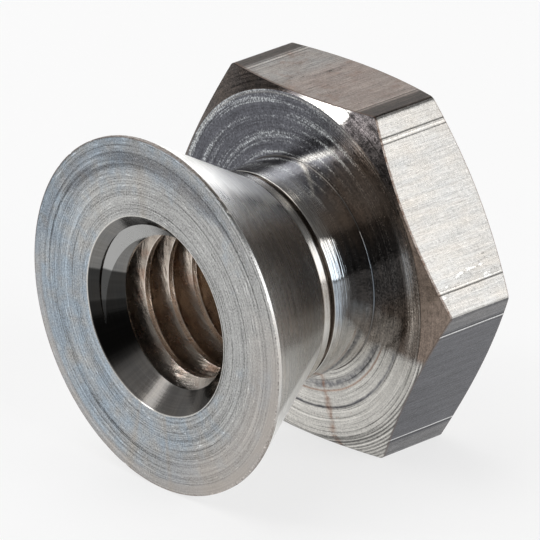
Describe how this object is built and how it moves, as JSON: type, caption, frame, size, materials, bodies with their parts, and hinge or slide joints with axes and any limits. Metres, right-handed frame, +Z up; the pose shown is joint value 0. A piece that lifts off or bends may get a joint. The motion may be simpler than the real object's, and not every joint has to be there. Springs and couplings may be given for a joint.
{
  "type": "shear nut",
  "caption": "Steel shear nut with a thin round rim, a smooth cone, a threaded bore, and a hexagonal drive head that breaks away at the narrow groove round its neck once the nut is tight.",
  "frame": {"origin": "on the thread's axis, in the bearing face", "axes": "+Y along the thread, from the bearing face back to the drive head; +Z up, square to the flat opposite the one the head lies on; +X through a corner of the head"},
  "size_m": [0.0218, 0.0149, 0.019],
  "materials": {
    "steel": "turned and drawn, bright with light brown staining"
  },
  "bodies": {
    "root": {"shear_nut": "steel"}
  },
  "joints": []
}
